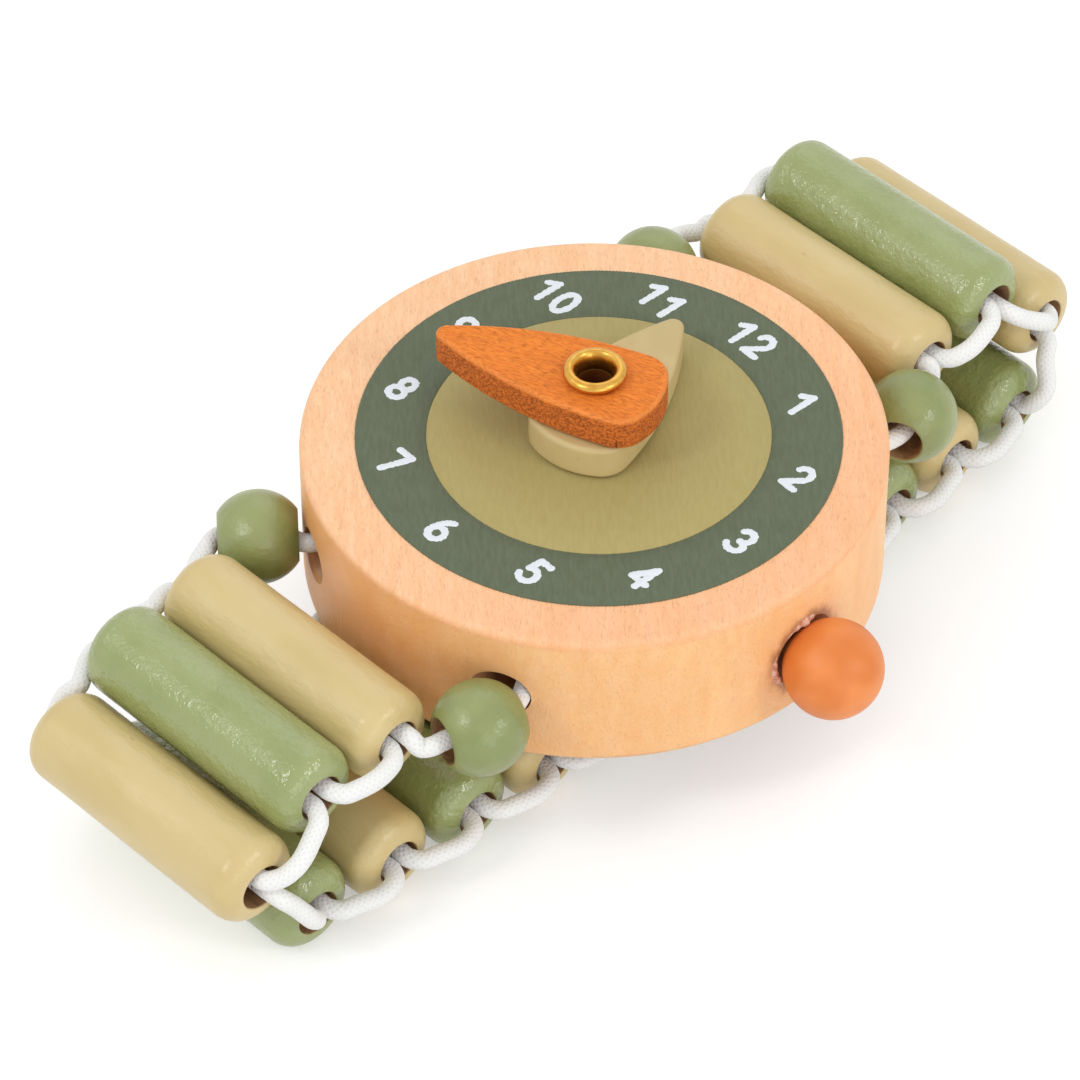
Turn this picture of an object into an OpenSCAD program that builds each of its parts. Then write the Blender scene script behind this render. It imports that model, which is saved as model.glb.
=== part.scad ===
/* [Case] */
// Diameter of the wooden case
case_d = 42; // [38:0.5:48]
// Thickness of the case, back face to dial face
case_h = 11.5; // [10:0.5:14]
// Radius of the rounded rims of the case
case_rim_r = 0.6; // [0.4:0.1:1.5]
// Distance of each cord hole from the middle of the case
cord_hole_x = 9.5; // [9:0.1:11]
// Diameter of the two cord holes through the case
cord_hole_d = 4; // [3.6:0.1:4.4]

/* [Dial] */
// Outer diameter of the green printed ring
dial_d = 34.7; // [30:0.1:36]
// Width of the green printed ring, round its khaki middle
dial_ring_w = 5.05; // [3:0.05:8]
// Thickness of the printed layers
print_h = 0.1; // [0.05:0.05:0.2]

/* [Hands] */
// Thickness of each wooden hand
hand_h = 2.7; // [2:0.1:3.5]
// Running gap under each hand and under the eyelet
hand_gap = 0.1; // [0.05:0.01:0.2]
// Minute hand, pivot to the point
minute_reach = 12.3; // [10:0.1:14]
// Minute hand, pivot to the blunt end
minute_tail = 5.1; // [4.5:0.1:6]
// Minute hand, largest width
minute_w = 7.6; // [6.6:0.1:9]
// Minute hand, angle from 12 o'clock, anticlockwise
minute_turn = 111; // [0:1:359]
// Hour hand, pivot to the point
hour_reach = 11.1; // [9:0.1:12]
// Hour hand, pivot to the blunt end
hour_tail = 4.5; // [4.2:0.1:6]
// Hour hand, largest width
hour_w = 7.9; // [6.6:0.1:9]
// Hour hand, angle from 12 o'clock, anticlockwise
hour_turn = 12; // [0:1:359]
// Radius of the rounded point of a hand
hand_tip_r = 0.8; // [0.5:0.1:1.2]
// Radius of the two rounded corners of a hand
hand_corner_r = 2.2; // [1:0.1:2.2]
// Radius of the bowed blunt end of a hand
hand_end_r = 6; // [6:0.5:20]
// Distance of a hand's widest place behind the pivot
hand_belly = 1.8; // [1:0.1:2.4]

/* [Eyelet] */
// Bore of the brass eyelet
eyelet_bore_d = 2.7; // [1.8:0.1:2.9]
// Wall of the eyelet barrel
eyelet_wall = 0.4; // [0.3:0.05:0.5]
// Outer diameter of the rolled brass collar
eyelet_collar_d = 4.4; // [4.2:0.1:5.4]
// Radial running clearance of the hands on the barrel
hand_clear = 0.05; // [0.02:0.01:0.1]
// Diameter of the brass washer in the back
washer_d = 6.4; // [6:0.1:7.5]
// Thickness of the brass washer
washer_h = 0.5; // [0.4:0.1:0.8]
// Depth of the recess in the case back
recess_h = 1.9; // [1.8:0.1:2.4]

/* [Crown] */
// Diameter of the crown ball
crown_d = 7.2; // [5.5:0.1:8]
// Depth of the crown ball's seat in the side of the case
crown_seat_h = 0.95; // [0:0.05:1.4]
// Height of the middle of the case over the crown's
crown_drop = 0.7; // [0:0.1:1]
// Gap between the crown ball and the case
crown_gap = 0.35; // [0.1:0.05:0.4]
// Diameter of the peg that holds the crown
peg_d = 2.4; // [2:0.1:3]
// Depth of the peg in the case
peg_in_case = 6; // [4:0.5:6.5]
// Depth of the peg in the crown ball
peg_in_ball = 3.4; // [2:0.1:4]

/* [Strap beads] */
// Diameter of a strap bead
bead_d = 6.9; // [6:0.1:7]
// Length of a strap bead
bead_l = 21.2; // [18:0.2:24]
// Radius of the rounded rims of a strap bead
bead_rim_r = 1.6; // [1:0.1:1.7]
// Bore of every bead on the strap
bead_bore_d = 3.4; // [3.3:0.05:3.5]
// Distance from one strap bead to the next
bead_spacing = 7.2; // [7.15:0.05:7.4]
// Gap between the case back and the lower layer of beads
layer_gap = 0.25; // [0.15:0.05:0.5]
// Diameter of a round spacer bead
round_d = 6.9; // [6:0.1:7]
// Gap between a round bead and the case
round_gap = 0.1; // [0.05:0.05:0.3]

/* [Strap lie] */
// Distance of the first strap bead's middle from the edge of the case
first_bead_out = 6.2; // [5.8:0.1:7]
// Height of the first strap bead over the middle of the case edge
first_bead_rise = 0.25; // [0:0.05:0.5]
// Slope of the first link on the 6 o'clock side, in degrees
slope_6 = -1; // [-6:1:4]
// Slope of the first link on the 12 o'clock side, in degrees
slope_12 = 8; // [0:1:10]

/* [Cord] */
// Diameter of the elastic cord
cord_d = 1.45; // [1.3:0.05:1.5]
// Distance of each cord strand from the middle of a bead's bore
strand_r = 0.8; // [0.78:0.01:0.85]
// Diameter of the knot in each cord hole
knot_d = 3.2; // [2.8:0.1:3.6]

/* [Hidden] */
$fn = 64;
SIDES = [6, 12];
bead_counts = [9, 8];
ENDS = ["left", "right"];
function bead_name(side, i) = str("strap_bead_", SIDES[side], "_", i + 1);
function cord_name(side, i) = str("strap_cord_", SIDES[side], "_", i + 1);
function round_name(side, e) = str("round_bead_", SIDES[side], "_", ENDS[e]);

// Colours
WOOD = [0.95, 0.76, 0.58];
KHAKI = [0.76, 0.69, 0.48];
GREEN = [0.53, 0.61, 0.40];
DARK_GREEN = [0.36, 0.42, 0.33];
DIAL_KHAKI = [0.67, 0.63, 0.41];
ORANGE = [0.85, 0.40, 0.16];
BRASS = [0.80, 0.62, 0.25];
CORD_WHITE = [0.90, 0.89, 0.88];

// Case and dial
case_r = case_d / 2;
dial_centre_d = dial_d - 2 * dial_ring_w;
mid_z = case_h / 2;
print_z = case_h + print_h;
// How far a cut runs past the face that it opens
overrun = case_h / 10;

// Stack of the hands on the eyelet
barrel_r = eyelet_bore_d / 2 + eyelet_wall;
hour_z = print_z + hand_gap;
minute_z = hour_z + hand_h + hand_gap;
collar_r = (eyelet_collar_d - eyelet_bore_d) / 4;
collar_z = minute_z + hand_h + hand_gap + collar_r;
washer_z = recess_h - washer_h;
tail_r = (washer_d - eyelet_bore_d) / 10;
tail_z = washer_z - tail_r;

// Crown
crown_r = crown_d / 2;
crown_x = case_r + crown_r - crown_seat_h;
crown_z = mid_z - crown_drop;

// Beads
bead_r = bead_d / 2;
bore_r = bead_bore_d / 2;
round_r = round_d / 2;
cord_r = cord_d / 2;

// Sideways lie of each strap bead, as shares of its length
sway_shares = [
    [-0.11, -0.11, -0.085, -0.06, -0.035, -0.015, 0, 0, 0],
    [-0.14, -0.145, -0.12, -0.07, -0.05, -0.03, -0.015, -0.01]
];
// Place of each round bead along X, as shares of the cord hole's distance
round_x_shares = [[-1.437, 1.153], [-1.458, 1.095]];
// Turn of each round bead's bore away from the strap's run, in degrees
round_turns = [[41, 17], [43, 25]];
// How much nearer the case a round bead stands when its bored end faces the case
round_seats = [[0.2, 0], [0.2, 0]];

// The strap in the plane across the beads: u runs outward from the case, z upward
low_z = -layer_gap - bead_r;
first_bead_y = case_r + first_bead_out;
first_z = mid_z + first_bead_rise;
slopes = [slope_6, slope_12];
function polar(r, t) = [r * cos(t), r * sin(t)];
function heading(v) = atan2(v[1], v[0]);
function wrapped(t) = t > 90 ? t - 360 : t;
function low_bead(i) = [(8 - i) * bead_spacing, low_z];
function second_bead(side) = [first_bead_y, first_z] + polar(bead_spacing, slopes[side]);
function third_bead(side) =
    let (a = second_bead(side), b = low_bead(3), m = (a + b) / 2, h = norm(b - a) / 2)
    m + polar(sqrt(bead_spacing * bead_spacing - h * h), heading(b - a) + 90);
function bead_uz(side, i) =
    i == 0 ? [first_bead_y, first_z] :
    i == 1 ? second_bead(side) :
    i == 2 ? third_bead(side) :
    i <= 8 ? low_bead(i) : [-bead_spacing, low_z];
function bead_x(side, i) =
    i < bead_counts[side] ? sway_shares[side][i] * bead_l : sway_shares[1 - side][7] * bead_l;
// Heading of the link that ends at bead i, lying flat
function flat_heading(side, i) =
    i == 0 ? 0 : wrapped(heading(bead_uz(side, i) - bead_uz(side, i - 1)));

// Heading of each link with the strap open round a wrist, in degrees, alike on both sides:
// steep at the first bead and level at the middle one, so that the loop stays closed on the way
worn_headings = [-72, -80, -97, -119, -140, -156, -167, -177];
function worn_heading(i) =
    i == 0 ? 0 :
    i <= 8 ? worn_headings[i - 1] : -360 - worn_headings[7];
// Turn of the joint at bead i - 1 between the two states, in degrees
function joint_turn(side, i) =
    worn_heading(i) - flat_heading(side, i) - worn_heading(i - 1) + flat_heading(side, i - 1);

// Cord strands in a bead: the next link leaves at next_turn, seen from the link that arrives
function next_turn(side, i) = flat_heading(side, i + 1) - flat_heading(side, i);
function entry_turn(side, i) = 180 + next_turn(side, i) + joint_turn(side, i + 1) / 2;

// Cord route, in millimetres
// Depth of the face where the cords of two links meet in a bore
meet_depth = 1;
meet_gap = 0.05;
// From a bead's mouth to the middle between two beads: out of the mouth, along the link,
// for the tight loops on the left and the loose ones on the right
loop_routes = [
    [[-1, 0.8], [0, 0.8], [0.72, 1.25], [0.8, 2.1], [0.42, 3.1]],
    [[-1, 0.8], [0.1, 0.8], [0.9, 1.3], [1.3, 2.4]]
];
mouth_out = 0.1;
// How far outside the last bead's mouth the joining loops end
join_out = 0.2;
straight_depth = 2;
twist_steps = 7;
cord_sides = 8;
// From a round bead's outer mouth to the first strap bead's mouth: along X, and outward
corner_routes = [
    [[[-15.3, 23.6], [-14.75, 24.9], [-14.05, 25.9]], [[9.95, 25.5], [9.5, 26.2]]],
    [[[-15.6, 23.55], [-15.2, 24.8], [-14.6, 25.8]], [[8.95, 25.5], [8.7, 26.15]]]
];
// Straight run of those cords into the first strap bead
mouth_run = 0.5;
// In the cord hole: distance from the middle of the case
hole_route = [8, 15.6];

// Helpers

function side_sign(side) = side == 0 ? -1 : 1;
// From x, u, z to the part's own frame
function placed(side, x, uz) = [x, side_sign(side) * uz[0], uz[1]];
function turned(v, t) = [v[0] * cos(t) - v[1] * sin(t), v[0] * sin(t) + v[1] * cos(t)];

// Strand through a bead's bore, from the mouth on side m (1 right, -1 left) towards the other
function strand(side, i, m, sweep) =
    let (
        a = entry_turn(side, i),
        twist_l = bead_l - 2 * straight_depth,
        depths = concat(
            [-mouth_out, meet_depth],
            [for (k = [0:twist_steps]) straight_depth + twist_l * k / twist_steps],
            [bead_l - meet_depth - meet_gap]
        ),
        turns = concat(
            [a, a],
            [for (k = [0:twist_steps]) a + sweep * k / twist_steps],
            [a + sweep]
        )
    )
    [for (k = [0:len(depths) - 1])
        placed(
            side,
            bead_x(side, i) + m * (bead_l / 2 - depths[k]),
            bead_uz(side, i) + turned(polar(strand_r, turns[k]), flat_heading(side, i))
        )];
// Twist of each strand: the two turn the same way along the bore
function strand_sweep(side, i, m) =
    next_turn(side, i) - entry_turn(side, i) + (m > 0 ? 0 : 360);

// Loop from the mouth of bead i - 1 to just before the mouth of bead i, where it lies rise higher
function loop(side, i, m, rise) =
    let (
        t = flat_heading(side, i),
        from = bead_uz(side, i - 1),
        route = loop_routes[m < 0 ? 0 : 1],
        n = len(route)
    )
    concat(
        [for (p = route)
            placed(
                side,
                bead_x(side, i - 1) + m * (bead_l / 2 + p[0]),
                from + turned([p[1], 0], t)
            )],
        [for (k = [n - 1:-1:2])
            placed(
                side,
                bead_x(side, i) + m * (bead_l / 2 + route[k][0]),
                from + turned([bead_spacing - route[k][1], rise], t)
            )]
    );

// Place of a round bead, and the way its bore points outward, both as x and u
function round_xu(side, e) =
    let (
        x = round_x_shares[side][e] * cord_hole_x,
        r = case_r + round_gap + round_r - round_seats[side][e]
    )
    [x, sqrt(r * r - x * x)];
function round_way(side, e) = let (t = round_turns[side][e]) [-sin(t), cos(t)];
// Where the cord passes between the outer edge of its hole and the inner rim of the round bead
function pass_point(side, e) =
    let (
        m = e == 0 ? -1 : 1,
        x = cord_hole_x + cord_hole_d / 2,
        edge = [m * x, sqrt(case_r * case_r - x * x)],
        w = round_way(side, e),
        mouth = round_xu(side, e) - w * sqrt(round_r * round_r - bore_r * bore_r)
    )
    (edge + mouth - m * bore_r * [w[1], -w[0]]) / 2;

// Cord from the middle of the case to the mouth of the first strap bead
function case_route(side, e) =
    let (m = e == 0 ? -1 : 1, c = round_xu(side, e), w = round_way(side, e))
    [for (p = concat(
            [for (y = hole_route) [m * cord_hole_x, y]],
            [pass_point(side, e), c - w * round_r / 2, c, c + w * (round_r - cord_r / 2)],
            corner_routes[side][e]))
        placed(side, p[0], [p[1], mid_z])];
// The same cord, through the first strap bead's bore to its end
function half_cord(side, e) =
    let (m = e == 0 ? -1 : 1, in_bore = strand(side, 0, m, strand_sweep(side, 0, m)))
    concat(case_route(side, e), [in_bore[0] + [m * mouth_run, 0, 0]], in_bore);
function reversed(list) = [for (k = [len(list) - 1:-1:0]) list[k]];

// Round tube along a list of points, each ring square to the run of its neighbours
module tube(points, up) {
    n = len(points);
    rings = [for (k = [0:n - 1])
        let (
            d = points[min(k + 1, n - 1)] - points[max(k - 1, 0)],
            w = d / norm(d),
            s = cross(w, up) / norm(cross(w, up)),
            v = cross(s, w)
        )
        [for (j = [0:cord_sides - 1])
            let (t = 360 * j / cord_sides)
            points[k] + cord_r * (cos(t) * s + sin(t) * v)]];
    sides = [for (k = [0:n - 2]) for (j = [0:cord_sides - 1])
        let (
            a = k * cord_sides + j,
            b = k * cord_sides + (j + 1) % cord_sides,
            c = a + cord_sides,
            d = b + cord_sides
        )
        each [[a, b, c], [b, d, c]]];
    last = (n - 1) * cord_sides;
    caps = [for (j = [1:cord_sides - 2]) each [[0, j + 1, j], [last, last + j, last + j + 1]]];
    polyhedron([for (ring = rings) each ring], concat(sides, caps));
}

module barrel(r, z0, z1) {
    translate([0, 0, z0]) cylinder(r = r, h = z1 - z0);
}

// Rounded disc about Z from z = 0
module rounded_disc(r, h, rim) {
    rotate_extrude() {
        square([r - rim, h]);
        translate([0, rim]) square([r, h - 2 * rim]);
        for (z = [rim, h - rim]) translate([r - rim, z]) circle(r = rim);
    }
}

// Leaf about the pivot, pointing along +Y, with its bore: two bowed sides and a bowed blunt end,
// whose arcs run into smaller ones at the point and the corners
module hand(reach, tail, w, z) {
    rise = reach - hand_tip_r + hand_belly;
    side_r = (w * w / 4 + rise * rise - hand_tip_r * hand_tip_r) / (w - 2 * hand_tip_r);
    side_c = [w / 2 - side_r, -hand_belly];
    end_c = [0, hand_end_r - tail];
    tip_c = [0, reach - hand_tip_r];
    // The corner's middle lies inside both the side's arc and the end's arc
    span = end_c - side_c;
    d = norm(span);
    from_side = side_r - hand_corner_r;
    from_end = hand_end_r - hand_corner_r;
    along = (d * d + from_side * from_side - from_end * from_end) / (2 * d);
    off = sqrt(from_side * from_side - along * along);
    corner = side_c + (along * span + off * [span[1], -span[0]]) / d;
    on_end = end_c + hand_end_r * (corner - end_c) / norm(corner - end_c);
    on_side = side_c + side_r * (corner - side_c) / norm(corner - side_c);
    on_tip = side_c + side_r * (tip_c - side_c) / norm(tip_c - side_c);
    cut = on_side - on_end;
    clip = [[w, on_tip[1]], on_side + cut, on_end - cut];
    translate([0, 0, z]) difference() {
        linear_extrude(height = hand_h) {
            intersection() {
                translate(side_c) circle(r = side_r);
                translate([-side_c[0], side_c[1]]) circle(r = side_r);
                translate(end_c) circle(r = hand_end_r);
                polygon(concat(clip, [for (k = [2:-1:0]) [-clip[k][0], clip[k][1]]]));
            }
            translate(tip_c) circle(r = hand_tip_r);
            for (s = [-1, 1]) translate([s * corner[0], corner[1]]) circle(r = hand_corner_r);
        }
        barrel(barrel_r + hand_clear, -overrun, hand_h + overrun);
    }
}

// Sub-parts

module case() {
    color(WOOD) difference() {
        rounded_disc(case_r, case_h, case_rim_r);
        barrel(barrel_r, -overrun, case_h + overrun);
        barrel(washer_d / 2 + hand_clear, -overrun, recess_h);
        for (m = [-1, 1]) translate([m * cord_hole_x, 0, mid_z]) rotate([90, 0, 0])
            cylinder(d = cord_hole_d, h = case_d, center = true);
        translate([case_r - peg_in_case, 0, crown_z]) rotate([0, 90, 0])
            cylinder(d = peg_d, h = peg_in_case + overrun);
        translate([crown_x, 0, crown_z]) sphere(r = crown_r + crown_gap);
    }
}

module dial_ring() {
    color(DARK_GREEN) translate([0, 0, case_h]) difference() {
        cylinder(d = dial_d, h = print_h);
        translate([0, 0, -overrun]) cylinder(d = dial_centre_d, h = print_h + 2 * overrun);
    }
}

module dial_centre() {
    color(DIAL_KHAKI) translate([0, 0, case_h]) difference() {
        cylinder(d = dial_centre_d, h = print_h);
        barrel(barrel_r, -overrun, print_h + overrun);
    }
}

module hour_hand() {
    color(KHAKI) rotate([0, 0, hour_turn]) hand(hour_reach, hour_tail, hour_w, hour_z);
}

module minute_hand() {
    color(ORANGE) rotate([0, 0, minute_turn]) hand(minute_reach, minute_tail, minute_w, minute_z);
}

// Tube rivet: barrel, rolled collar over the hands and rolled tail under the washer
module hand_eyelet() {
    color(BRASS) rotate_extrude() {
        translate([eyelet_bore_d / 2, tail_z]) square([eyelet_wall, collar_z - tail_z]);
        translate([eyelet_bore_d / 2 + collar_r, collar_z]) circle(r = collar_r);
        translate([eyelet_bore_d / 2 + tail_r, tail_z]) circle(r = tail_r);
    }
}

module back_washer() {
    color(BRASS) difference() {
        barrel(washer_d / 2, washer_z, recess_h);
        barrel(barrel_r, washer_z - overrun, recess_h + overrun);
    }
}

module crown_ball() {
    color(ORANGE) translate([crown_x, 0, crown_z]) difference() {
        sphere(r = crown_r);
        translate([-crown_r - overrun, 0, 0]) rotate([0, 90, 0])
            cylinder(d = peg_d, h = peg_in_ball + overrun);
    }
}

module crown_peg() {
    color(WOOD) translate([case_r - peg_in_case, 0, crown_z]) rotate([0, 90, 0])
        cylinder(d = peg_d, h = peg_in_case - crown_seat_h + peg_in_ball);
}

module round_bead(side, e) {
    c = round_xu(side, e);
    turn = -side_sign(side) * round_turns[side][e];
    color(GREEN) translate(placed(side, c[0], [c[1], mid_z])) rotate([0, 0, -turn]) difference() {
        sphere(r = round_r);
        rotate([90, 0, 0]) cylinder(r = bore_r, h = round_d + overrun, center = true);
    }
}

module case_cord(e) {
    color(CORD_WHITE) tube(concat(reversed(half_cord(0, e)), half_cord(1, e)), [0, 0, 1]);
}

// Knots that tie the two cords, one in each cord hole
module cord_knots() {
    color(CORD_WHITE) for (m = [-1, 1]) translate([m * cord_hole_x, 0, mid_z]) difference() {
        sphere(d = knot_d);
        rotate([90, 0, 0]) cylinder(d = cord_d, h = knot_d + overrun, center = true);
    }
}

module strap_bead(side, i) {
    tint = i % 2 == 0 ? KHAKI : GREEN;
    color(tint) translate(placed(side, bead_x(side, i), bead_uz(side, i))) rotate([0, 90, 0])
        difference() {
            translate([0, 0, -bead_l / 2]) rounded_disc(bead_r, bead_l, bead_rim_r);
            cylinder(r = bore_r, h = bead_l + overrun, center = true);
        }
}

// Two strands that cross in bead i and reach back to the mouths of bead i - 1
module strap_cord(side, i) {
    t = flat_heading(side, i);
    up = [0, -side_sign(side) * sin(t), cos(t)];
    rise = sin(entry_turn(side, i)) * strand_r / 2;
    color(CORD_WHITE) for (m = [-1, 1])
        tube(concat(loop(side, i, m, rise), strand(side, i, m, strand_sweep(side, i, m))), up);
}

// Cord loops from the last bead of the 6 o'clock side to the last of the 12 o'clock side
module strap_cord_join() {
    color(CORD_WHITE) for (m = [-1, 1])
        tube(concat(
            loop(0, 9, m, 0),
            [placed(0, bead_x(0, 9) + m * (bead_l / 2 + join_out), bead_uz(0, 9) + [strand_r, 0])]
        ), [0, 0, 1]);
}

case();
dial_ring();
dial_centre();
hour_hand();
minute_hand();
hand_eyelet();
back_washer();
crown_ball();
crown_peg();
for (side = [0, 1]) for (e = [0, 1])
    round_bead(side, e);
for (e = [0, 1])
    case_cord(e);
cord_knots();
for (side = [0, 1]) for (i = [0:bead_counts[side] - 1])
    strap_bead(side, i);
for (side = [0, 1]) for (i = [1:bead_counts[side] - 1])
    strap_cord(side, i);
strap_cord_join();
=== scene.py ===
# %% [markdown]
# A wooden play watch, dressed in Blender. The solids of the watch come from the CAD model as a
# fixed frame: a round wooden case, two hands on a brass eyelet, a ball crown, and a strap of
# painted beads on elastic cord. This lesson gives each of them its finish, and makes again, as
# smooth surfaces, the pieces whose rounding or grain the plain solids can't show.

# %% Load the frame
import math
import bmesh
import bpy
import numpy as np
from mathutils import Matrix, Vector


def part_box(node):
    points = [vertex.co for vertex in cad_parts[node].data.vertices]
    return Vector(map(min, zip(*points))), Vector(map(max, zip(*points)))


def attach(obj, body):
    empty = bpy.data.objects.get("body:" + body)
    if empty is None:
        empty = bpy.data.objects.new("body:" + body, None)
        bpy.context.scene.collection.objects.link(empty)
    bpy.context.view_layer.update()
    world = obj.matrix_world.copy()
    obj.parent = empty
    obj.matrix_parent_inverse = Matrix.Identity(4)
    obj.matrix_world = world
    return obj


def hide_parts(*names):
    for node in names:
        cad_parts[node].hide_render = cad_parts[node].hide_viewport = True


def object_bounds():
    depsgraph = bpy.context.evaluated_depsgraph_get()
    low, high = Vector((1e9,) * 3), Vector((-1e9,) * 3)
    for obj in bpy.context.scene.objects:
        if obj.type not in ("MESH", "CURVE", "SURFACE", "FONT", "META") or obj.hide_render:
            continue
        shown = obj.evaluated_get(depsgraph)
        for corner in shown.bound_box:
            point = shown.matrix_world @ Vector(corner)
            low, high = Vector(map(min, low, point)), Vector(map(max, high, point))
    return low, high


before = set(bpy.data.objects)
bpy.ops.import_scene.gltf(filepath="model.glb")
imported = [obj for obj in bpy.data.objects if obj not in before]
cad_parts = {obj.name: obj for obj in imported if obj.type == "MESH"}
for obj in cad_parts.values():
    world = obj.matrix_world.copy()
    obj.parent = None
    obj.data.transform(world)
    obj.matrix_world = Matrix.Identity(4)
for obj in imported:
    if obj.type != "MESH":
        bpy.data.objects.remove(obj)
cad_low, cad_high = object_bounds()
MM = 0.001


def stand(name, data):
    """A new object in the scene."""
    made = bpy.data.objects.new(name, data)
    bpy.context.scene.collection.objects.link(made)
    return made


def direction(azimuth, height):
    """The way from the watch toward an azimuth and a height, both in degrees: the azimuth's
    sine and its cosine backwards, both times the height's cosine, and the height's sine."""
    a, h = math.radians(azimuth), math.radians(height)
    return Vector((math.sin(a) * math.cos(h), -math.cos(a) * math.cos(h), math.sin(h)))


print("nodes:", len(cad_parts), " box in mm:", [round(v / MM, 2) for v in cad_high - cad_low])

# %% [markdown]
# The camera stands where the photographer's stood. A long lens far away keeps the dial's
# circles nearly true ellipses; its place is an azimuth and a height round a point near the
# 6 o'clock side of the dial. Numbers are in millimetres until they are multiplied by MM.

# %% Camera
VIEW_AZIMUTH = 45.5
VIEW_HEIGHT = 44.4
VIEW_DISTANCE = 392
VIEW_TARGET = Vector((4.87, -10.21, 11.5))
LENS = 187.4

view_back = direction(VIEW_AZIMUTH, VIEW_HEIGHT)
camera_data = bpy.data.cameras.new("camera")
camera_data.lens = LENS
camera_data.sensor_width = 36
camera_data.clip_start = 0.01
camera = stand("camera", camera_data)
camera.location = (VIEW_TARGET + view_back * VIEW_DISTANCE) * MM
camera.rotation_mode = "QUATERNION"
camera.rotation_quaternion = (-view_back).to_track_quat("-Z", "Y")
bpy.context.scene.camera = camera
print("camera at", [round(v, 4) for v in camera.location])

# %% [markdown]
# Every new piece is a surface: a grid of points worked out by a formula, whose rows and columns
# are joined by four-cornered faces. A ring-shaped bead closes on itself both ways; a ball ends
# in two poles. One function turns such grids into faces, and measures the volume inside, so
# that a shell that came out inside-out can be turned round before it becomes a mesh.

# %% Grids and shells
def shell(points, closed_rows=False, poles=False, along=None, marks=0.0):
    """A closed shell from a grid of points: each face joins row i and i + 1 at column j and
    j + 1. Columns always close; rows close too, or end in poles, where a row is one point.
    `along` is each row's distance for the UV map, and `marks` a value from 0 to 1 per point."""
    rows, cols = points.shape[:2]
    last = rows if closed_rows else rows - 1
    i, j = np.indices((last, cols)).reshape(2, -1)
    corner_rows = i[:, None] + [0, 0, 1, 1]
    corner_cols = j[:, None] + [0, 1, 1, 0]
    faces = (corner_rows % rows) * cols + corner_cols % cols
    if along is None:
        along = np.arange(rows + 1) / rows
    else:
        along = np.append(along, 2 * along[-1] - along[-2])
    uv = np.stack([along[corner_rows], corner_cols / cols], axis=2)
    vertices = points.reshape(-1, 3)
    marks = np.broadcast_to(marks, (rows, cols)).ravel()
    a, b, c, d = vertices[faces].swapaxes(0, 1)
    volume = (a * (np.cross(b, c) + np.cross(c, d))).sum() / 6
    if volume < 0:
        faces, uv = faces[:, ::-1], uv[:, ::-1]
    return {
        "vertices": vertices, "faces": faces, "uv": uv, "marks": marks, "merge": poles,
        "volume": abs(volume),
    }


def piece(name, shells, material, body, replaces=()):
    """One object from shells given in millimetres, riding on a body of the frame."""
    def joined(key):
        return np.concatenate([s[key] for s in shells])

    counts = np.cumsum([0] + [len(s["vertices"]) for s in shells])
    faces = np.concatenate([s["faces"] + n for s, n in zip(shells, counts)])
    mesh = bpy.data.meshes.new(name)
    mesh.from_pydata((joined("vertices") * MM).tolist(), [], faces.tolist())
    mesh.uv_layers.new(name="surface").data.foreach_set("uv", joined("uv").ravel())
    mark = mesh.attributes.new("mark", "FLOAT", "POINT")
    mark.data.foreach_set("value", joined("marks"))
    if any(s["merge"] for s in shells):
        merge_doubles(mesh)
    mesh.polygons.foreach_set("use_smooth", np.ones(len(mesh.polygons), bool))
    mesh.materials.append(material)
    made = stand(name, mesh)
    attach(made, body)
    if replaces:
        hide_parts(*replaces)
    print(name, "faces", len(mesh.polygons), "mm3", round(sum(s["volume"] for s in shells), 1))


def merge_doubles(mesh):
    """Points of a pole's row fall together into one."""
    work = bmesh.new()
    work.from_mesh(mesh)
    bmesh.ops.remove_doubles(work, verts=work.verts, dist=1e-4 * MM)
    bmesh.ops.dissolve_degenerate(work, edges=work.edges, dist=1e-5 * MM)
    work.to_mesh(mesh)
    work.free()


def circle(angles):
    """The cosine and sine of some angles, in radians: points on a circle of radius one."""
    return np.stack([np.cos(angles), np.sin(angles)], axis=1)


def unit(rows):
    """Each row divided by its own length."""
    return rows / np.linalg.norm(rows, axis=-1, keepdims=True)


def lathe(profile, origin, axis, sides, marks, closed=True, wobble=0.0, seed=0):
    """A profile of (distance along the axis, radius) turned about the axis, with a mark for
    each of its points: a point goes along the axis by its distance, and out from it by its
    radius at every angle. The radius swells by `wobble` in a few soft waves along and around,
    as on a bead turned by hand."""
    axis = unit(np.array(axis, float))
    side = unit(np.cross(axis, [0, 0, 1] if abs(axis[2]) < 0.9 else [0, 1, 0]))
    up = np.cross(axis, side)
    turn = np.linspace(0, 2 * np.pi, sides, endpoint=False)
    distance, radius = np.array(profile, float).T[..., None]
    phase = np.random.default_rng(seed).uniform(0, 2 * np.pi, 4)
    waves = (
        np.sin(2 * turn + 0.35 * distance + phase[0])
        + 0.7 * np.sin(3 * turn - 0.5 * distance + phase[1])
        + 0.8 * np.sin(0.7 * distance + phase[2])
    )
    swollen = (radius + wobble * waves * (radius > 0))[..., None]
    points = origin + distance[..., None] * axis + swollen * (circle(turn) @ np.array([side, up]))
    return shell(points, closed, not closed, distance[:, 0], marks[:, None])


def spun(flat, angle):
    """Flat points turned about the origin by an angle in radians: x times the cosine less y
    times the sine, and x times the sine plus y times the cosine."""
    c, s = math.cos(angle), math.sin(angle)
    return flat @ np.array([[c, s], [-s, c]])


def lifted(flat, height):
    """Flat points with a height for each of them as the third number."""
    return np.concatenate([flat, np.broadcast_to(height, flat.shape[:-1])[..., None]], axis=-1)


def spaced(path):
    """How far along a path each of its points lies: the running sum of its steps."""
    return np.append(0, np.cumsum(np.linalg.norm(np.diff(path, axis=0), axis=1)))


def arc(centre, radius, start, end, count):
    """Points on a circle from one angle to another, in degrees; a radius may be a pair."""
    return centre + np.array(radius) * circle(np.radians(np.linspace(start, end, count)))


print("helpers ready")

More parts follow.
